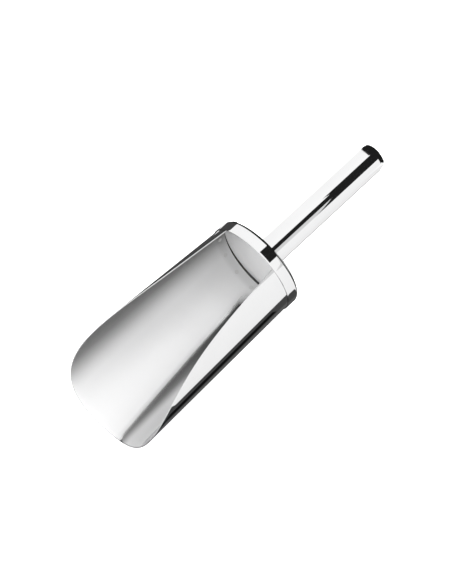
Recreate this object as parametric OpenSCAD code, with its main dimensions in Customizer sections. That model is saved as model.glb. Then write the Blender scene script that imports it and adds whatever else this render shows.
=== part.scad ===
// Ice scoop: a rolled sheet bowl, a pressed end cap that wraps round its back end, and a
// closed tube handle welded to the cap. Millimetres, +Z up, mouth towards -Y, handle towards +Y.

/* [Bowl] */
// Length of the bowl from the front edge of the end cap to the lip
bowl_len = 174; // [110:1:240]
// Outer radius of the rolled sheet where it sits in the end cap
bowl_r = 42.7; // [30:0.1:60]
// How much larger the outer radius is at the lip, where the sheet springs open
bowl_flare = 7.2; // [0:0.1:12]
// Thickness of the rolled sheet
bowl_t = 0.8; // [0.6:0.1:2]
// Height of the rim above the bowl's floor line, measured at the end cap
rim_h = 76.5; // [50:0.5:84]
// Power of the side outline: 2 is an ellipse, more keeps the sides high for longer
rim_power = 4; // [2:0.1:6]

/* [End cap] */
// Outer radius of the pressed end cap
cap_r = 43.5; // [31:0.1:61]
// Depth of the cap from its back face to its front edge
cap_len = 12; // [8:0.5:20]
// Thickness of the cap's sheet
cap_t = 0.8; // [0.6:0.1:2]
// Outer radius of the cap's rounded back corner
cap_corner_r = 2.6; // [1.2:0.1:5]

/* [Handle] */
// Outer radius of the handle tube
handle_r = 12.5; // [10:0.5:16]
// Length of the handle from the cap's back face to its end
handle_len = 140; // [100:1:180]
// Wall thickness of the handle tube
handle_t = 1; // [0.8:0.1:2]
// Thickness of the plate that closes the handle
end_t = 1.2; // [1:0.1:3]
// Length of the tapered part at the handle's end
taper_len = 6; // [2:0.5:12]
// How much smaller the handle's radius is at its very end
taper_in = 0.8; // [0.2:0.1:2]
// Width of the broken edge at the handle's end
end_edge = 0.5; // [0.2:0.1:0.9]
// Height above the handle's axis at which the swept underside meets the end face
sweep_top = 5; // [0:0.5:8]
// Length of the swept underside along the handle
sweep_len = 17; // [8:0.5:24]
// Radius of the swept underside, seen from the side
sweep_r = 70; // [40:1:200]

/* [Welds] */
// Number of spot welds between the cap and the bowl
spot_n = 11; // [5:1:14]
// Angle between two spot welds
spot_pitch = 25; // [18:1:40]
// Angle of the first spot weld from the floor line
spot_first = -118; // [-135:1:-60]
// Radius of a spot weld
spot_r = 1.9; // [1:0.1:3]
// Depth of a spot weld's dimple at the floor line
spot_dimple = 0.12; // [0:0.02:0.3]
// Distance of the spot welds behind the cap's front edge
spot_back = 3.6; // [2.5:0.1:8]
// Leg length of the weld bead round the handle's foot
bead_leg = 2.4; // [1:0.1:4]
// Depth of the chamfer on the tube's foot that the bead fills
foot_chamfer = 0.6; // [0.2:0.1:0.8]

/* [Hidden] */
$fn = 96;
far = 200;
cap_inner_r = cap_r - cap_t;
seat_y = cap_t + (cap_corner_r - cap_t);
flare_a = asin(bowl_flare / bowl_len);
seat_gap = 0.03;
back_len = cap_len + 4;
shift_y = (cap_len + bowl_len - handle_len) / 2;
rim_steps = 40;
chord = sqrt(pow(sweep_len, 2) + pow(sweep_top + handle_r, 2));
sweep_d = sqrt(pow(sweep_r, 2) - pow(chord / 2, 2));

// Puts the working frame, whose origin is the middle of the cap's back face and whose
// Y axis is the handle's axis, into the scoop's own frame.
module placed() {
    translate([0, shift_y, cap_r]) children();
}

// Turns a shape drawn along Z so that it runs along +Y.
module along_y() {
    rotate([-90, 0, 0]) children();
}

// A cylinder along Y from y0 to y1.
module rod(y0, y1, r) {
    translate([0, y0, 0]) along_y() cylinder(h = y1 - y0, r = r);
}

// Solid cone that fills the sheet's outside, or its inside when inset is the sheet's
// thickness. It widens towards the lip and is tipped so that its floor line stays level.
module bowl_form(inset) {
    translate([0, -cap_len, seat_gap - bowl_r])
        rotate([90 - flare_a, 0, 0])
            translate([0, bowl_r, -back_len])
                cylinder(
                    h = back_len + bowl_len + 20,
                    r1 = bowl_r - seat_gap - inset - back_len * tan(flare_a),
                    r2 = bowl_r - seat_gap - inset + (bowl_len + 20) * tan(flare_a)
                );
}

// Side outline of the bowl, drawn with x forward from the cap's front edge and y up.
function rim_point(i) =
    let (a = 90 * i / rim_steps, x = sin(a))
    [bowl_len * x, rim_h * sqrt(max(0, 1 - pow(x, rim_power)))];

module side_outline() {
    polygon(concat(
        [[bowl_len, -5], [-cap_len + seat_y, -5], [-cap_len + seat_y, rim_h]],
        [for (i = [0 : rim_steps]) rim_point(i)]
    ));
}

// Block as wide as the bowl whose side view is the rim's outline.
module rim_block() {
    translate([0, -cap_len, -bowl_r])
        rotate([90, 0, -90])
            linear_extrude(height = 140, center = true) side_outline();
}

// Places children at each spot weld, with +Z pointing outwards along the radius.
module at_spots() {
    for (i = [0 : spot_n - 1])
        translate([0, -cap_len + spot_back, 0])
            rotate([0, spot_first + 180 + spot_pitch * i, 0]) children();
}

// Weld metal from a shallow dimple inside the sheet to halfway through the cap's flange.
module spot_nugget(dimple) {
    translate([0, 0, bowl_r - bowl_t + dimple])
        cylinder(h = bowl_t + cap_t / 2 - dimple, r = spot_r, $fn = 32);
}

// Everything inside the handle's finished outside, moved inwards by inset at the end.
module end_envelope(inset) {
    intersection() {
        rod(-1, handle_len - inset, far);
        union() {
            rod(-1, handle_len - sweep_len - 2, far);
            translate([
                0,
                handle_len - sweep_len / 2 - sweep_d * (sweep_top + handle_r) / chord,
                (sweep_top - handle_r) / 2 + sweep_d * sweep_len / chord
            ])
                rotate([0, 90, 0])
                    cylinder(h = 80, r = sweep_r - inset, center = true, $fn = 180);
        }
    }
}

// Half section of the handle's outside, or of its inside when inset is the wall's thickness:
// a straight run, then the taper, then the broken edge where the outside meets the end.
module handle_section(inset) {
    r = handle_r - inset;
    polygon([
        [0, 0], [r, 0], [r, handle_len - taper_len],
        [r - taper_in * (taper_len - end_edge) / taper_len, handle_len - end_edge],
        [r - taper_in - end_edge, handle_len], [0, handle_len]
    ]);
}

module handle_solid(inset) {
    along_y() rotate_extrude() handle_section(inset);
}

// Half section of the weld bead: its round face and the wedge that fills the foot's chamfer.
module bead_section() {
    translate([handle_r, 0]) intersection() {
        circle(r = bead_leg, $fn = 48);
        square(bead_leg + 1);
    }
    polygon([[handle_r - foot_chamfer, 0], [handle_r, 0], [handle_r, bead_leg]]);
}

module bowl() {
    color([0.80, 0.81, 0.82]) placed() difference() {
        intersection() {
            difference() {
                bowl_form(0);
                bowl_form(bowl_t);
            }
            rim_block();
        }
        at_spots() spot_nugget(-1);
    }
}

module cap_profile(r, len, c) {
    square([r, len - c]);
    square([r - c, len]);
    translate([r - c, len - c]) circle(r = c, $fn = 64);
}

module end_cap() {
    color([0.74, 0.75, 0.77]) placed() difference() {
        translate([0, -cap_len, 0]) along_y() rotate_extrude() intersection() {
            cap_profile(cap_r, cap_len, cap_corner_r);
            square([cap_r, cap_len]);
        }
        translate([0, -cap_len - 1, 0]) along_y() rotate_extrude() intersection() {
            cap_profile(cap_inner_r, cap_len + 1 - cap_t, cap_corner_r - cap_t);
            square([cap_inner_r, cap_len + 1 - cap_t]);
        }
        at_spots() spot_nugget(spot_dimple);
    }
}

module handle_tube() {
    color([0.86, 0.87, 0.88]) placed() difference() {
        intersection() {
            handle_solid(0);
            end_envelope(0);
        }
        translate([0, -1, 0]) along_y() rotate_extrude() square([handle_r - handle_t, 3]);
        handle_solid(handle_t);
        along_y() rotate_extrude()
            polygon([[handle_r - foot_chamfer, 0], [handle_r + 1, 0], [handle_r + 1, bead_leg], [handle_r, bead_leg]]);
    }
}

module handle_end_plate() {
    color([0.66, 0.67, 0.69]) placed() difference() {
        intersection() {
            handle_solid(handle_t);
            end_envelope(0);
        }
        end_envelope(end_t);
    }
}

module spot_welds() {
    color([0.55, 0.56, 0.58]) placed() at_spots() spot_nugget(spot_dimple);
}

module handle_weld_bead() {
    color([0.60, 0.61, 0.63]) placed() along_y() rotate_extrude() bead_section();
}

bowl();
end_cap();
handle_tube();
handle_end_plate();
spot_welds();
handle_weld_bead();
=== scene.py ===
import math

import bpy
import numpy as np
from mathutils import Matrix, Vector


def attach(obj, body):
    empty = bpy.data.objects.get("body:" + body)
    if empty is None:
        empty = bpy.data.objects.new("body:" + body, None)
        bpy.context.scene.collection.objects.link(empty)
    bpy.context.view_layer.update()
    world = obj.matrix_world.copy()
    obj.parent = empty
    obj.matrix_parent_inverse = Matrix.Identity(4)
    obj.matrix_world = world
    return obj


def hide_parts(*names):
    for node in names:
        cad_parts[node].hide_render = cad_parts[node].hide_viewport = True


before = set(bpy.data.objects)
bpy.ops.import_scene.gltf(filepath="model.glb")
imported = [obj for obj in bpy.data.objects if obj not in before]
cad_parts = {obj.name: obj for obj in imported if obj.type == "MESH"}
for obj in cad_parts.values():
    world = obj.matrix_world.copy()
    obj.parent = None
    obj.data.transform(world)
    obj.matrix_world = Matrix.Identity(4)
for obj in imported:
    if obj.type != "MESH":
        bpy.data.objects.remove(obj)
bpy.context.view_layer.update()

# Sizes in millimetres. They are the CAD part's, but for TAPER_LEN, which is 1 mm shorter, and
# NOSE_START and NOSE_END, between which the nose's taper dies out, in degrees from the top.
# The working frame has its origin in the middle of the cap's back face, +Y along the handle
# and +Z up.
MM = 0.001
BOWL_LEN, BOWL_R, FLARE, SHEET = 174.0, 42.7, 7.2, 0.8
RIM_H, RIM_POWER = 76.5, 4.0
CAP_R, CAP_LEN, CAP_T, CORNER = 43.5, 12.0, 0.8, 2.6
HANDLE_R, HANDLE_LEN, WALL = 12.5, 140.0, 1.0
TAPER_LEN, TAPER_IN = 5.0, 0.8
NOSE_START, NOSE_END = 62.0, 84.0
SWEEP_TOP, SWEEP_LEN, SWEEP_R = 5.0, 17.0, 70.0
END_T = 1.2
BEAD, FOOT = 2.4, 0.6
SEAT_GAP = 0.03
SPOTS, SPOT_PITCH, SPOT_FIRST, SPOT_R, SPOT_BACK = 11, 25.0, -118.0, 1.9, 3.6
# The looks' own shape: the edge radius of the handle's end, how much it grows and where round
# the tube, in degrees; the softness of the end's crease; the bead's ripples, their depth and
# their unevenness; and the fineness of the meshes.
END_EDGE, END_EDGE_MORE, END_EDGE_AT = 0.35, 0.75, (24, 34, 58, 68)
CREASE_SOFT, CREASE_OUT = 0.35, 0.03
RIPPLES, RIPPLE_DEPTH, RIPPLE_MORE = 34, 0.10, 0.05
TURN_STEPS = 256
SHEET_ROWS, EDGE_STEPS, SIDE_STEPS, RIM_SAMPLES = 26, 8, 190, 4000
RING_LEN = 2 * SHEET_ROWS + EDGE_STEPS - 1
ORIGIN = np.array([0.0, (CAP_LEN + BOWL_LEN - HANDLE_LEN) / 2, CAP_R])

ALPHA = math.asin(FLARE / BOWL_LEN)
CONE_Y = np.array([0.0, math.sin(ALPHA), math.cos(ALPHA)])
CONE_Z = np.array([0.0, -math.cos(ALPHA), math.sin(ALPHA)])
CONE_0 = np.array([0.0, -CAP_LEN, SEAT_GAP - BOWL_R])


# ---------------------------------------------------------------- mesh helpers
def make_object(name, verts, faces, smooth_angle=40.0):
    """A mesh object from points in the working frame in millimetres."""
    mesh = bpy.data.meshes.new(name)
    points = (np.asarray(verts) + ORIGIN) * MM
    mesh.from_pydata(points.tolist(), [], faces)
    mesh.update()
    mesh.polygons.foreach_set("use_smooth", [True] * len(mesh.polygons))
    mesh.set_sharp_from_angle(angle=math.radians(smooth_angle))
    obj = bpy.data.objects.new(name, mesh)
    bpy.context.scene.collection.objects.link(obj)
    return obj


def loft(rings, closed_across):
    """Faces that join rings of equally many points; each ring is a closed loop."""
    n, m = len(rings), len(rings[0])
    verts = [p for ring in rings for p in ring]
    faces = []
    for i in range(n if closed_across else n - 1):
        a, b = i * m, ((i + 1) % n) * m
        for j in range(m):
            k = (j + 1) % m
            faces.append((a + j, a + k, b + k, b + j))
    if not closed_across:
        faces.append(tuple(reversed(range(m))))
        faces.append(tuple(range((n - 1) * m, n * m)))
    return verts, faces


def outward(verts, faces):
    """The faces, turned over if they enclose a negative volume."""
    v = np.asarray(verts)
    total = 0.0
    for f in faces:
        for i in range(1, len(f) - 1):
            total += float(np.dot(v[f[0]], np.cross(v[f[i]], v[f[i + 1]])))
    return faces if total > 0 else [tuple(reversed(f)) for f in faces]


def revolved(name, section, segments, wobble=None):
    """A closed half section of (radius, y) points turned round the handle's axis."""
    rings = []
    for i in range(segments):
        a = 2 * math.pi * i / segments
        ring = []
        for r, y in section:
            if wobble:
                r, y = wobble(a, r, y)
            ring.append((r * math.sin(a), y, r * math.cos(a)))
        rings.append(ring)
    verts, faces = loft(rings, True)
    return make_object(name, verts, outward(verts, faces))


def disc_faces(segments, m):
    """Faces of a closed disc: points 0 and 1 are its poles, then m points for each segment."""
    faces = []
    for i in range(segments):
        a, b = 2 + i * m, 2 + ((i + 1) % segments) * m
        faces.append((0, b, a))
        faces.append((1, a + m - 1, b + m - 1))
        for j in range(m - 1):
            faces.append((a + j, b + j, b + j + 1, a + j + 1))
    return faces


def disc_revolved(name, section, segments):
    """A solid of revolution from a line of (radius, y) points that starts and ends on the axis."""
    inner = section[1:-1]
    verts = [(0, section[0][1], 0), (0, section[-1][1], 0)]
    for i in range(segments):
        a = 2 * math.pi * i / segments
        verts += [(r * math.sin(a), y, r * math.cos(a)) for r, y in inner]
    return make_object(name, verts, outward(verts, disc_faces(segments, len(inner))))


def arc(cx, cy, r, a0, a1, n):
    """n + 1 points on an arc, angles in degrees."""
    turns = [math.radians(a0 + (a1 - a0) * i / n) for i in range(n + 1)]
    return [(cx + r * math.cos(a), cy + r * math.sin(a)) for a in turns]


def spread(p, q, n):
    """n points from p towards q, without q."""
    return [(p[0] + (q[0] - p[0]) * i / n, p[1] + (q[1] - p[1]) * i / n) for i in range(n)]


# ---------------------------------------------------------------- bowl
def cone_point(theta, w, inset):
    """Point on the sheet at angle theta from the top and distance w along the cone's axis."""
    rho = BOWL_R - SEAT_GAP + w * math.tan(ALPHA) - inset
    return (
        CONE_0 + (BOWL_R + rho * math.cos(theta)) * CONE_Y
        + np.array([rho * math.sin(theta), 0, 0]) + w * CONE_Z
    )


def cone_normal(theta):
    """Outward direction of the sheet at angle theta from the top."""
    flat = math.cos(theta) * CONE_Y + np.array([math.sin(theta), 0, 0])
    n = flat * math.cos(ALPHA) - CONE_Z * math.sin(ALPHA)
    return n / np.linalg.norm(n)


def rim_at(x):
    """Angle and distance along the cone of the rim, x millimetres ahead of the cap's front edge."""
    share = min(1.0, max(0.0, x / BOWL_LEN))
    height = RIM_H * math.sqrt(max(0.0, 1 - share**RIM_POWER))
    d = np.array([0.0, -CAP_LEN - x, height - BOWL_R]) - CONE_0
    w, v = float(d @ CONE_Z), float(d @ CONE_Y)
    rho = BOWL_R - SEAT_GAP + w * math.tan(ALPHA)
    return math.acos(max(-1.0, min(1.0, (v - BOWL_R) / rho))), w


def bowl_sheet():
    """The rolled sheet with a fully rounded edge all the way round its rim."""
    back = CAP_LEN - CORNER
    first = 1.2 - back
    dense = []
    for i in range(RIM_SAMPLES + 1):
        u = i / RIM_SAMPLES
        dense.append(rim_at(first + (BOWL_LEN - first) * (1 - (1 - u) ** 3)))
    pts = np.array([cone_point(t, w, 0) for t, w in dense])
    run = np.concatenate([[0], np.cumsum(np.linalg.norm(np.diff(pts, axis=0), axis=1))])
    at = np.linspace(0, run[-1], SIDE_STEPS + 1)
    thetas = np.interp(at, run, [t for t, _ in dense])
    ws = np.interp(at, run, [w for _, w in dense])
    thetas[-1] = math.pi
    path = [(t, w) for t, w in zip(thetas, ws)] + [
        (2 * math.pi - t, w) for t, w in zip(thetas[-2::-1], ws[-2::-1])
    ]
    outer = np.array([cone_point(t, w, SHEET / 2) for t, w in path])
    along = np.gradient(outer, axis=0)
    rings = []
    half = SHEET / 2
    for (theta, w), t in zip(path, along):
        n = cone_normal(theta)
        e = np.cross(t / np.linalg.norm(t), n)
        e /= np.linalg.norm(e)
        round_dir = np.array([math.cos(theta), 0, 0]) - math.sin(theta) * CONE_Y
        slope = np.cross(round_dir, n)
        if slope @ CONE_Z < 0:
            slope = -slope
        if e @ slope < 0 or (abs(e @ slope) < 0.2 and e @ CONE_Y < 0):
            e = -e
        rho = BOWL_R + w * math.tan(ALPHA)
        theta_in = theta - half * float(e @ round_dir) / rho
        w_in = w - half * float(e @ slope)
        ring = []
        for j in range(SHEET_ROWS):
            s = j / (SHEET_ROWS - 1)
            ring.append(cone_point(theta_in, (w_in + back) * s - back, 0))
        centre = cone_point(theta_in, w_in, half)
        for k in range(1, EDGE_STEPS):
            b = math.pi * k / EDGE_STEPS
            ring.append(centre + n * half * math.cos(b) + e * half * math.sin(b))
        for j in range(SHEET_ROWS):
            s = 1 - j / (SHEET_ROWS - 1)
            ring.append(cone_point(theta_in, (w_in + back) * s - back, SHEET))
        rings.append(ring)
    verts, faces = loft(rings, False)
    return make_object("bowl_sheet", verts, outward(verts, faces), 60)


# ---------------------------------------------------------------- end cap
def end_cap():
    """The pressing: a disc, a rounded corner and a flange with a softened lip."""
    lip = 0.3
    inner_r = CAP_R - CAP_T
    top = [(0, 0)]
    top += [(r, 0) for r in (6, 12, 18, 24, 30, 36)]
    top += arc(CAP_R - CORNER, -CORNER, CORNER, 90, 0, 14)
    top += spread((CAP_R, -CORNER - 1), (CAP_R, -CAP_LEN + lip), 6)
    top += arc(CAP_R - lip, -CAP_LEN + lip, lip, 0, -90, 4)
    bottom = arc(inner_r + lip, -CAP_LEN + lip, lip, -90, -180, 4)
    bottom += spread((inner_r, -CAP_LEN + 1), (inner_r, -CORNER), 6)
    bottom += arc(inner_r - (CORNER - CAP_T), -CORNER, CORNER - CAP_T, 0, 90, 10)
    bottom += [(r, -CAP_T) for r in (36, 30, 24, 18, 12, 6)]
    bottom += [(0, -CAP_T)]
    return disc_revolved("end_cap_pressing", top + bottom, TURN_STEPS)


# ---------------------------------------------------------------- handle
CHORD = math.hypot(SWEEP_LEN, SWEEP_TOP + HANDLE_R)
SWEEP_D = math.sqrt(SWEEP_R**2 - (CHORD / 2) ** 2)
SWEEP_Y = HANDLE_LEN - SWEEP_LEN / 2 - SWEEP_D * (SWEEP_TOP + HANDLE_R) / CHORD
SWEEP_Z = (SWEEP_TOP - HANDLE_R) / 2 + SWEEP_D * SWEEP_LEN / CHORD


def end_y(z):
    """How far the closed end reaches at height z, with the crease slightly softened."""
    swept = SWEEP_Y + math.sqrt(max(1.0, SWEEP_R**2 - (z - SWEEP_Z) ** 2))
    gap = swept - HANDLE_LEN
    soft = math.sqrt(gap * gap + 4 * CREASE_SOFT * CREASE_SOFT)
    return HANDLE_LEN + 0.5 * (gap - soft) + CREASE_OUT


def tube_r(y, angle):
    """The wall's radius: the nose is drawn in over the top and stays straight underneath."""
    past = max(0.0, y - (HANDLE_LEN - TAPER_LEN))
    turned = math.degrees(math.acos(math.cos(angle)))
    share = min(1.0, max(0.0, (NOSE_END - turned) / (NOSE_END - NOSE_START)))
    return HANDLE_R - TAPER_IN * share * share * (3 - 2 * share) * past / TAPER_LEN


def tube_end(angle, inset):
    """Where the tube's wall meets the closed end, at an angle from the top."""
    y = HANDLE_LEN
    for _ in range(25):
        y = 0.5 * y + 0.5 * end_y((tube_r(y, angle) - inset) * math.cos(angle))
    return y


def window(value, low, in_from, in_to, high):
    """1 between in_from and in_to, falling smoothly to 0 at low and high."""
    rise = min(1.0, max(0.0, (value - low) / (in_from - low)))
    fall = min(1.0, max(0.0, (high - value) / (high - in_to)))
    t = rise * fall
    return t * t * (3 - 2 * t)


def bend(start, corner, goal, n):
    """n points on a curve from start to goal that is drawn towards the corner."""
    points = []
    for j in range(1, n + 1):
        t = j / n
        points.append(tuple(
            (1 - t) ** 2 * p + 2 * t * (1 - t) * q + t * t * r for p, q, r in zip(start, corner, goal)
        ))
    return points


def handle_tube():
    """The tube's wall, closed across its section: outside, rounded end edge, then inside."""
    rings = []
    for i in range(TURN_STEPS):
        a = 2 * math.pi * i / TURN_STEPS
        sx, cz = math.sin(a), math.cos(a)
        edge = END_EDGE + END_EDGE_MORE * window(math.degrees(a), *END_EDGE_AT)
        y1 = tube_end(a, 0)
        r1 = tube_r(y1, a)
        ring = [(HANDLE_R - FOOT, 0.0), (HANDLE_R, BEAD)]
        straight = HANDLE_LEN - TAPER_LEN
        stop = min(straight - 0.15, y1 - edge)
        for j in range(1, 25):
            y = BEAD + (stop - BEAD) * j / 24
            ring.append((HANDLE_R, y))
        first, last = min(straight + 0.15, y1 - edge + 0.01), y1 - edge + 0.02
        for j in range(7):
            y = first + (last - first) * j / 6 + 0.001 * j
            ring.append((tube_r(y, a), y))
        into = r1 - edge
        ring += bend(ring[-1], (r1, y1), (into, end_y(into * cz)), 6)
        seam = r1 - WALL
        ring.append((seam, end_y(seam * cz)))
        ring.append((seam, end_y(seam * cz) - 2.0))
        low = min(end_y(seam * cz) - 3.0, HANDLE_LEN - TAPER_LEN - 3)
        ring.append((HANDLE_R - WALL, low))
        for j in range(1, 6):
            ring.append((HANDLE_R - WALL, low * (1 - j / 5)))
        rings.append([(r * sx, y, r * cz) for r, y in ring])
    verts, faces = loft(rings, True)
    return make_object("handle_tube_skin", verts, outward(verts, faces), 50)


def end_plate():
    """The plate that closes the handle: flat across the top, swept back underneath."""
    steps = 26
    verts = [(0, end_y(0), 0), (0, end_y(0) - END_T, 0)]
    for i in range(TURN_STEPS):
        a = 2 * math.pi * i / TURN_STEPS
        y1 = tube_end(a, 0)
        seam = tube_r(y1, a) - WALL - 0.02
        column = []
        for j in range(1, steps + 1):
            r = seam * j / steps
            column.append((r, end_y(r * math.cos(a))))
        for j in range(steps, 0, -1):
            r = seam * j / steps
            column.append((r, end_y(r * math.cos(a)) - END_T))
        verts += [(r * math.sin(a), y, r * math.cos(a)) for r, y in column]
    faces = disc_faces(TURN_STEPS, 2 * steps)
    return make_object("handle_end_closure", verts, outward(verts, faces), 50)


def weld_bead():
    """Overlapping weld ripples round the handle's foot, smoothed by polishing."""
    def ripple(a, r, y):
        wave = 0.5 + 0.5 * math.cos(a * RIPPLES)
        depth = RIPPLE_DEPTH * wave + RIPPLE_MORE * math.sin(a * 5 + 1)
        out = math.hypot(r - HANDLE_R, y)
        if r <= HANDLE_R + 0.01 or out < 0.6:
            return r, y
        k = 1 - depth * out / BEAD / BEAD
        return HANDLE_R + (r - HANDLE_R) * k, max(0.0, y * k)
    section = [(HANDLE_R - FOOT + 0.01, 0.0), (HANDLE_R + 1.2, 0.0)]
    section += arc(HANDLE_R, 0, BEAD, 0, 90, 12)
    section += [(HANDLE_R - FOOT / 2, BEAD / 2)]
    return revolved("handle_foot_weld", section, 8 * RIPPLES, ripple)


def spot_marks():
    """Shallow ring-shaped marks that the spot welds leave on the inside of the sheet."""
    verts, faces = [], []
    # Radius and height above the sheet, from the middle out, then the buried underside's.
    rings = [(0.5, 0.035), (1.0, 0.045), (1.35, 0.075), (1.6, 0.10), (1.8, 0.075), (SPOT_R, -0.02)]
    rings.append((SPOT_R - 0.02, -0.10))
    segments = 28
    w0 = -SPOT_BACK
    for i in range(SPOTS):
        theta = math.radians(180 + SPOT_FIRST + SPOT_PITCH * i)
        rho = BOWL_R + w0 * math.tan(ALPHA) - SHEET
        base = len(verts)

        def place(r, a, up):
            t = theta + r * math.cos(a) / rho
            return cone_point(t, w0 + r * math.sin(a), SHEET + up)

        verts.append(place(0, 0, rings[0][1]))
        verts.append(place(0, 0, rings[-1][1]))
        for j in range(segments):
            a = 2 * math.pi * j / segments
            verts.extend(place(r, a, up) for r, up in rings)
        m = len(rings)
        for j in range(segments):
            p, q = base + 2 + j * m, base + 2 + ((j + 1) % segments) * m
            faces.append((base, p, q))
            faces.append((base + 1, q + m - 1, p + m - 1))
            for k in range(m - 1):
                faces.append((p + k, p + k + 1, q + k + 1, q + k))
    return make_object("spot_weld_marks", verts, outward(verts, faces), 60)


# ---------------------------------------------------------------- materials
def nodes_of(mat):
    """A material's node tree and its shader."""
    mat.use_nodes = True
    return mat.node_tree, mat.node_tree.nodes["Principled BSDF"]


def noise(tree, coords, scale, stretch, detail):
    """Noise fixed to the object, drawn out along an axis whose stretch is less than 1."""
    mapping = tree.nodes.new("ShaderNodeMapping")
    mapping.inputs["Scale"].default_value = stretch
    tree.links.new(coords.outputs["Object"], mapping.inputs["Vector"])
    tex = tree.nodes.new("ShaderNodeTexNoise")
    tex.inputs["Scale"].default_value = scale
    tex.inputs["Detail"].default_value = detail
    tree.links.new(mapping.outputs["Vector"], tex.inputs["Vector"])
    return tex


def ranged(tree, source, low, high, to_low, to_high):
    """A value rescaled from low..high to to_low..to_high."""
    node = tree.nodes.new("ShaderNodeMapRange")
    node.inputs["From Min"].default_value = low
    node.inputs["From Max"].default_value = high
    node.inputs["To Min"].default_value = to_low
    node.inputs["To Max"].default_value = to_high
    tree.links.new(source, node.inputs["Value"])
    return node.outputs["Result"]


SMUDGE_SCALE, SCRATCH_SCALE, SCRATCH_HEIGHT = 22.0, 900.0, 0.00002


def steel(name, colour, rough, rough_more, scratch, stretch, tint=0.03, metal=1.0):
    """Polished stainless steel: faint smudges in the roughness, fine scratches in the bump."""
    mat = bpy.data.materials.new(name)
    tree, bsdf = nodes_of(mat)
    coords = tree.nodes.new("ShaderNodeTexCoord")
    bsdf.inputs["Metallic"].default_value = metal
    smudge = noise(tree, coords, SMUDGE_SCALE, (1, 1, 1), 6.0)
    mix = tree.nodes.new("ShaderNodeMix")
    mix.data_type = "RGBA"
    mix.inputs["A"].default_value = (*[c * (1 - tint) for c in colour], 1)
    mix.inputs["B"].default_value = (*colour, 1)
    shade = ranged(tree, smudge.outputs["Fac"], 0.35, 0.65, 0.0, 1.0)
    tree.links.new(shade, mix.inputs["Factor"])
    tree.links.new(mix.outputs["Result"], bsdf.inputs["Base Color"])
    patch = ranged(tree, smudge.outputs["Fac"], 0.3, 0.75, rough, rough + rough_more)
    tree.links.new(patch, bsdf.inputs["Roughness"])
    lines = noise(tree, coords, SCRATCH_SCALE, stretch, 2.0)
    bump = tree.nodes.new("ShaderNodeBump")
    bump.inputs["Strength"].default_value = scratch
    bump.inputs["Distance"].default_value = SCRATCH_HEIGHT
    tree.links.new(lines.outputs["Fac"], bump.inputs["Height"])
    tree.links.new(bump.outputs["Normal"], bsdf.inputs["Normal"])
    return mat


# The bowl's satin counts as metal by this share. The buffed part's shade and roughness are
# shares of the satin's.
SATIN_METAL = 0.6
BUFFED_SHADE, BUFFED_ROUGH = 0.85, 0.13


def set_stops(ramp, stops):
    """Gives a colour ramp the grey stops (place from 0 to 1, level)."""
    while len(ramp.elements) > 1:
        ramp.elements.remove(ramp.elements[-1])
    for i, (at, level) in enumerate(stops):
        stop = ramp.elements[0] if i == 0 else ramp.elements.new(at)
        stop.position = at
        stop.color = (level, level, level, 1)


def along(tree, direction, stops, name):
    """A value that follows the distance along a direction, in metres, through the given stops."""
    coords = tree.nodes.new("ShaderNodeTexCoord")
    dot = tree.nodes.new("ShaderNodeVectorMath")
    dot.operation = "DOT_PRODUCT"
    dot.inputs[1].default_value = direction
    tree.links.new(coords.outputs["Object"], dot.inputs[0])
    low, high = stops[0][0], stops[-1][0]
    unit = ranged(tree, dot.outputs["Value"], low, high, 0.0, 1.0)
    ramp_node = tree.nodes.new("ShaderNodeValToRGB")
    ramp_node.label = name
    ramp_node.color_ramp.interpolation = "B_SPLINE" if len(stops) > 3 else "EASE"
    set_stops(ramp_node.color_ramp, [((at - low) / (high - low), level) for at, level in stops])
    tree.links.new(unit, ramp_node.inputs["Fac"])
    return ramp_node.outputs["Color"]


def product(tree, one, two):
    """Two colours multiplied."""
    mix = tree.nodes.new("ShaderNodeMix")
    mix.data_type = "RGBA"
    mix.blend_type = "MULTIPLY"
    mix.inputs["Factor"].default_value = 1.0
    tree.links.new(one, mix.inputs["A"])
    tree.links.new(two, mix.inputs["B"])
    return mix.outputs["Result"]


def times(tree, one, two):
    """Two values multiplied."""
    node = tree.nodes.new("ShaderNodeMath")
    node.operation = "MULTIPLY"
    tree.links.new(one, node.inputs[0])
    tree.links.new(two, node.inputs[1])
    return node.outputs["Value"]


def finish_with_painted_shade_inside(mat):
    """Shades the inside by place: pale on its floor, dark up the side at -X, buffed towards +X.

    The light and shade are painted along directions fixed in the object: painted light on
    the floor and painted shade up the side at -X, for light that the studio doesn't give.
    """
    tree, bsdf = nodes_of(mat)
    base = bsdf.inputs["Base Color"].links[0].from_socket
    # Painted light and shade: paler on the floor, darker up the side at -X.
    painted_light_and_shade = along(tree, (-0.6, 0, 0.8), [
        (0.000, 0.95), (0.036, 1.05), (0.045, 0.88), (0.053, 0.58), (0.062, 0.27), (0.080, 0.12),
    ], "painted_light_and_shade_ramp")
    welded = along(tree, (0, 1, 0), [
        (-0.160, 0.86), (-0.090, 1.0), (-0.030, 1.0), (0.011, 0.9), (0.015, 0.75),
    ], "weld_band")
    right = along(tree, (1, 0.12, 0), [(-0.010, 0.0), (-0.001, 1.0)], "right_side")
    low = along(tree, (0, 0, 1), [(0.045, 1.0), (0.060, 0.0)], "floor_side")
    front = along(tree, (0, 1, 0), [(0.000, 1.0), (0.018, 0.0)], "front_part")
    mask = times(tree, times(tree, right, low), front)
    buffed = ranged(tree, mask, 0.0, 1.0, 1.0, BUFFED_SHADE)
    base = product(tree, product(tree, base, painted_light_and_shade), product(tree, buffed, welded))
    tree.links.new(base, bsdf.inputs["Base Color"])
    rough = bsdf.inputs["Roughness"].links[0].from_socket
    shiny = ranged(tree, mask, 0.0, 1.0, 1.0, BUFFED_ROUGH)
    tree.links.new(times(tree, rough, shiny), bsdf.inputs["Roughness"])
    metal = ranged(tree, mask, 0.0, 1.0, SATIN_METAL, 1.0)
    tree.links.new(metal, bsdf.inputs["Metallic"])


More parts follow.
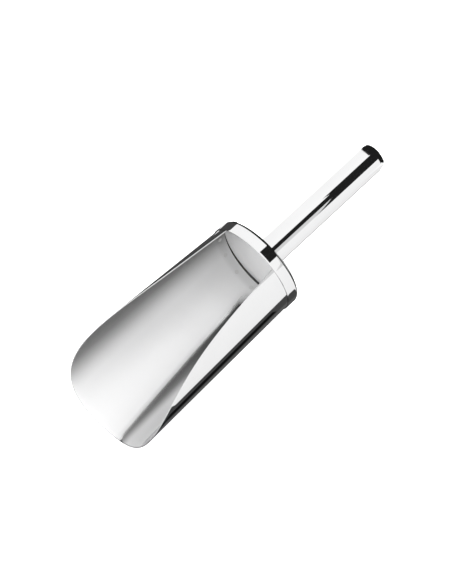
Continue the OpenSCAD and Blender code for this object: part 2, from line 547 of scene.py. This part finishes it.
# Colours, and whether the fine scratches run every way or along Y.
STEEL, SATIN = (0.62, 0.62, 0.622), (0.9, 0.9, 0.902)
EVEN, DRAWN = (1, 1, 1), (1, 0.05, 1)
mat_outside = steel("polished_outside", STEEL, 0.03, 0.02, 0.03, DRAWN)
mat_inside = steel("satin_inside", SATIN, 0.55, 0.04, 0.05, DRAWN)
finish_with_painted_shade_inside(mat_inside)
mat_cap = steel("polished_cap", STEEL, 0.03, 0.02, 0.03, EVEN)
mat_cap_inner = steel("satin_cap_inside", SATIN, 0.5, 0.05, 0.05, EVEN, metal=0.7)
# A painted shadow for the cap's inner corner, in the gap by the sheet's end.
mat_painted_seam_shadow = steel("painted_seam_shadow", (0.10, 0.10, 0.10), 0.45, 0.1, 0.1, EVEN, 0.2)
mat_handle = steel("polished_handle", STEEL, 0.025, 0.02, 0.03, DRAWN)
mat_plate = steel("ground_plate", (0.60, 0.60, 0.602), 0.06, 0.05, 0.06, (1, 1, 0.1))
mat_bead = steel("weld_bead", (0.55, 0.54, 0.53), 0.18, 0.12, 0.15, EVEN, 0.10)
mat_spot = steel("spot_weld", (0.70, 0.696, 0.692), 0.42, 0.12, 0.15, EVEN, 0.15)

cad_mats = {
    "bowl": mat_outside, "end_cap": mat_cap, "handle_tube": mat_handle,
    "handle_end_plate": mat_plate, "spot_welds": mat_spot, "handle_weld_bead": mat_bead,
}
for node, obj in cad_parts.items():
    obj.data.materials.clear()
    obj.data.materials.append(cad_mats[node])


def dress(obj, node, slot_name, *mats):
    """Gives a piece its materials and its body, and hides the CAD node that it replaces; slot_name is
    not used.
    """
    for m in mats:
        obj.data.materials.append(m)
    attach(obj, "root")
    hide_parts(node)


def shade_bowl(bowl):
    """The sheet's inner side takes the second material."""
    for poly in bowl.data.polygons:
        if len(poly.vertices) == 4:
            place = sorted(v % RING_LEN for v in poly.vertices)
            inside = place[0] >= SHEET_ROWS + EDGE_STEPS - 1 and place[-1] < RING_LEN
            poly.material_index = 1 if inside else 0


def shade_cap(cap):
    """The cap's inner face takes the second material, and its inner corner the third."""
    for poly in cap.data.polygons:
        x, y, z = Vector(poly.center) / MM - Vector(ORIGIN)
        across = math.hypot(x, z)
        if y < -CAP_T / 2 and across < CAP_R - CORNER + 0.3:
            poly.material_index = 1
        # The inner corner takes the painted shadow of the gap by the sheet's end.
        elif -CORNER - 0.5 < y < -CAP_T + 0.01 and across < CAP_R - CAP_T + 0.05:
            poly.material_index = 2


bowl = bowl_sheet()
dress(bowl, "bowl", "bowl_steel", mat_outside, mat_inside)
shade_bowl(bowl)
cap = end_cap()
dress(cap, "end_cap", "cap_steel", mat_cap, mat_cap_inner, mat_painted_seam_shadow)
shade_cap(cap)
dress(handle_tube(), "handle_tube", "handle_steel", mat_handle)
dress(end_plate(), "handle_end_plate", "end_plate_steel", mat_plate)
dress(spot_marks(), "spot_welds", "spot_weld_steel", mat_spot)
dress(weld_bead(), "handle_weld_bead", "weld_bead_steel", mat_bead)


# ---------------------------------------------------------------- studio
def emitter(name, strength):
    """A white light-giving material."""
    mat = bpy.data.materials.new(name)
    mat.use_nodes = True
    tree = mat.node_tree
    tree.nodes.clear()
    out = tree.nodes.new("ShaderNodeOutputMaterial")
    glow = tree.nodes.new("ShaderNodeEmission")
    glow.inputs["Color"].default_value = (1, 1, 1, 1)
    glow.inputs["Strength"].default_value = strength
    tree.links.new(glow.outputs["Emission"], out.inputs["Surface"])
    return mat


def rectangle(u0, u1, v0, v1):
    """Corners of a rectangle in a plane of its own."""
    return [(u0, v0), (u1, v0), (u1, v1), (u0, v1)]


def studio_floor(reach=6):
    """A plain pale floor; the steel reflects the boards and the studio instead of it."""
    mesh = bpy.data.meshes.new("floor")
    corners = [(x, y, 0) for x, y in rectangle(-reach, reach, -reach, reach)]
    mesh.from_pydata(corners, [], [(0, 1, 2, 3)])
    floor = bpy.data.objects.new("floor", mesh)
    bpy.context.scene.collection.objects.link(floor)
    mat = bpy.data.materials.new("pale_floor")
    _, bsdf = nodes_of(mat)
    bsdf.inputs["Base Color"].default_value = (0.93, 0.93, 0.93, 1)
    bsdf.inputs["Roughness"].default_value = 0.9
    bsdf.inputs["Specular IOR Level"].default_value = 0.1
    bsdf.inputs["Emission Color"].default_value = (1, 1, 1, 1)
    bsdf.inputs["Emission Strength"].default_value = 0.9
    floor.data.materials.append(mat)
    floor.visible_glossy = False


# Brightness of the studio by direction round the scoop's long axis, in degrees: 0 is straight
# up, 90 is towards +X and -90 towards -X.
BANDS = [
    (-180, 0.22), (-160, 0.25), (-154, 0.95), (-95, 0.95), (-60, 0.97), (-15, 0.99), (10, 1.0),
    (60, 0.95), (110, 0.92), (128, 0.89), (142, 0.84), (166, 0.86), (171, 0.22), (180, 0.22),
]
STUDIO, UNLIT = 1.55, 0.02
# Past this much of a direction's Y the studio is unlit; the limit moves out with its X.
FAR_FROM, FAR_TO = 0.402, 0.412
SHIFT_X, SHIFT_MORE = (-0.2, 0.5), 0.075


def studio_world():
    """An even studio, graded round the scoop's long axis and unlit beyond the handle."""
    world = bpy.data.worlds.new("studio")
    bpy.context.scene.world = world
    world.use_nodes = True
    tree = world.node_tree
    tree.nodes.clear()
    out = tree.nodes.new("ShaderNodeOutputWorld")
    sky = tree.nodes.new("ShaderNodeBackground")
    coords = tree.nodes.new("ShaderNodeTexCoord")
    part = tree.nodes.new("ShaderNodeSeparateXYZ")
    tree.links.new(coords.outputs["Generated"], part.inputs["Vector"])
    tree.links.new(sky.outputs["Background"], out.inputs["Surface"])

    turn = tree.nodes.new("ShaderNodeMath")
    turn.operation = "ARCTAN2"
    tree.links.new(part.outputs["X"], turn.inputs[0])
    tree.links.new(part.outputs["Z"], turn.inputs[1])
    ramp_node = tree.nodes.new("ShaderNodeValToRGB")
    set_stops(ramp_node.color_ramp, [((angle + 180) / 360, level) for angle, level in BANDS])
    unit = ranged(tree, turn.outputs["Value"], -math.pi, math.pi, 0.0, 1.0)
    tree.links.new(unit, ramp_node.inputs["Fac"])
    tree.links.new(ramp_node.outputs["Color"], sky.inputs["Color"])

    less = tree.nodes.new("ShaderNodeMath")
    less.operation = "SUBTRACT"
    tree.links.new(part.outputs["Y"], less.inputs[0])
    tree.links.new(ranged(tree, part.outputs["X"], *SHIFT_X, 0.0, SHIFT_MORE), less.inputs[1])
    level = ranged(tree, less.outputs["Value"], FAR_FROM, FAR_TO, STUDIO, UNLIT)
    level.node.interpolation_type = "SMOOTHSTEP"
    tree.links.new(level, sky.inputs["Strength"])


def card(name, corners, level):
    """A flat card of even brightness, seen only in reflections."""
    mesh = bpy.data.meshes.new(name)
    mesh.from_pydata([tuple(c) for c in corners], [], [(0, 1, 2, 3)])
    obj = bpy.data.objects.new(name, mesh)
    bpy.context.scene.collection.objects.link(obj)
    obj.data.materials.append(emitter(name + "_card", level))
    obj.visible_camera = False
    obj.visible_diffuse = False
    obj.visible_shadow = False
    obj.visible_transmission = False


# Plain rectangular boards round the scoop, like a product photographer's flags, in millimetres
# in the shared frame. Their places suit the camera's view, and none of them is in the bowl. UP
# leans from upright by FLAG_TILT, and the overhead boards are FLAG_H along UP from the handle.
FLAG_TILT = math.radians(22.5)
FLAG_H = 250
UP = Vector((math.sin(FLAG_TILT), 0, math.cos(FLAG_TILT)))
ACROSS = Vector((math.cos(FLAG_TILT), 0, -math.sin(FLAG_TILT)))
BLACK, DARK, DIM, PALE = 0.02, 0.085, 0.135, 1.04
DEEP_BLACK = 0.006


def overhead_board(name, across, along_y, level, height=FLAG_H):
    """A board over the handle, square to the direction UP."""
    axis = Vector((0, 0, CAP_R))
    corners = [
        (axis + UP * height + ACROSS * x + Vector((0, y, 0))) * MM
        for x, y in rectangle(*across, *along_y)
    ]
    card(name, corners, level)


def low_board(name, along_x, along_y, level, depth=1):
    """A board flat under the floor. Reflections pass the floor and show the highest board."""
    corners = [(x * MM, y * MM, -depth * MM) for x, y in rectangle(*along_x, *along_y)]
    card(name, corners, level)


def side_board(name, x, along_y, along_z, level):
    """An upright board beside the scoop."""
    corners = [(x * MM, y * MM, z * MM) for y, z in rectangle(*along_y, *along_z)]
    card(name, corners, level)


studio_floor()
studio_world()
overhead_board("flag_over_foot", (-60, 70), (75, 200), BLACK)
overhead_board("flag_over_end", (-120, 200), (200, 330), BLACK)
overhead_board("scrim", (60, 200), (110, 260), PALE, FLAG_H + 1)
low_board("table_dark", (-120, 95), (-350, 45), DARK)
low_board("table_front", (-120, 300), (-350, -100), DARK, 0.9)
low_board("table_black", (60, 75), (-300, 15), DEEP_BLACK, 0.5)
low_board("table_dim", (-20, 55), (-300, 40), DIM, 0.4)
low_board("table_far", (-10, 140), (190, 420), STUDIO, 1)
side_board("side_board", -120, (-350, 65), (-1, 85), DARK)


# ---------------------------------------------------------------- light
def area(name, place, target, size, power):
    """A square soft light, kept out of reflections."""
    data = bpy.data.lights.new(name, "AREA")
    data.shape = "SQUARE"
    data.size = size
    data.energy = power
    obj = bpy.data.objects.new(name, data)
    bpy.context.scene.collection.objects.link(obj)
    obj.location = place
    obj.rotation_mode = "QUATERNION"
    obj.rotation_quaternion = (Vector(target) - Vector(place)).to_track_quat("-Z", "Y")
    obj.visible_glossy = False
    obj.visible_camera = False
    return obj


area("overhead", (-0.3, 0.3, 2.4), (0, 0, 0), 3.0, 26)

# ---------------------------------------------------------------- camera
# The camera looks at TARGET from DISTANCE, both in metres. Lens and sensor are in millimetres.
AZIMUTH, ELEVATION, ROLL = math.radians(49.66), math.radians(61.32), math.radians(5.97)
DISTANCE, TARGET = 1.9214, Vector((-0.0024, -0.0163, 0.0387))
LENS, SENSOR = 142.7, 36
cam_data = bpy.data.cameras.new("camera")
cam = bpy.data.objects.new("camera", cam_data)
bpy.context.scene.collection.objects.link(cam)
bpy.context.scene.camera = cam
back = Vector((
    math.sin(AZIMUTH) * math.cos(ELEVATION),
    -math.cos(AZIMUTH) * math.cos(ELEVATION),
    math.sin(ELEVATION),
))
cam.location = TARGET + back * DISTANCE
cam.rotation_mode = "QUATERNION"
roll = Matrix.Rotation(-ROLL, 4, "Z").to_quaternion()
cam.rotation_quaternion = (-back).to_track_quat("-Z", "Y") @ roll
cam_data.sensor_width = SENSOR
cam_data.lens = LENS
cam_data.clip_start, cam_data.clip_end = 0.1, 50

view = bpy.context.scene.view_settings
view.view_transform = "Standard"
view.look = "None"
view.exposure = 0.0
view.gamma = 1.0
bpy.context.scene.cycles.max_bounces = 16
bpy.context.scene.cycles.glossy_bounces = 10
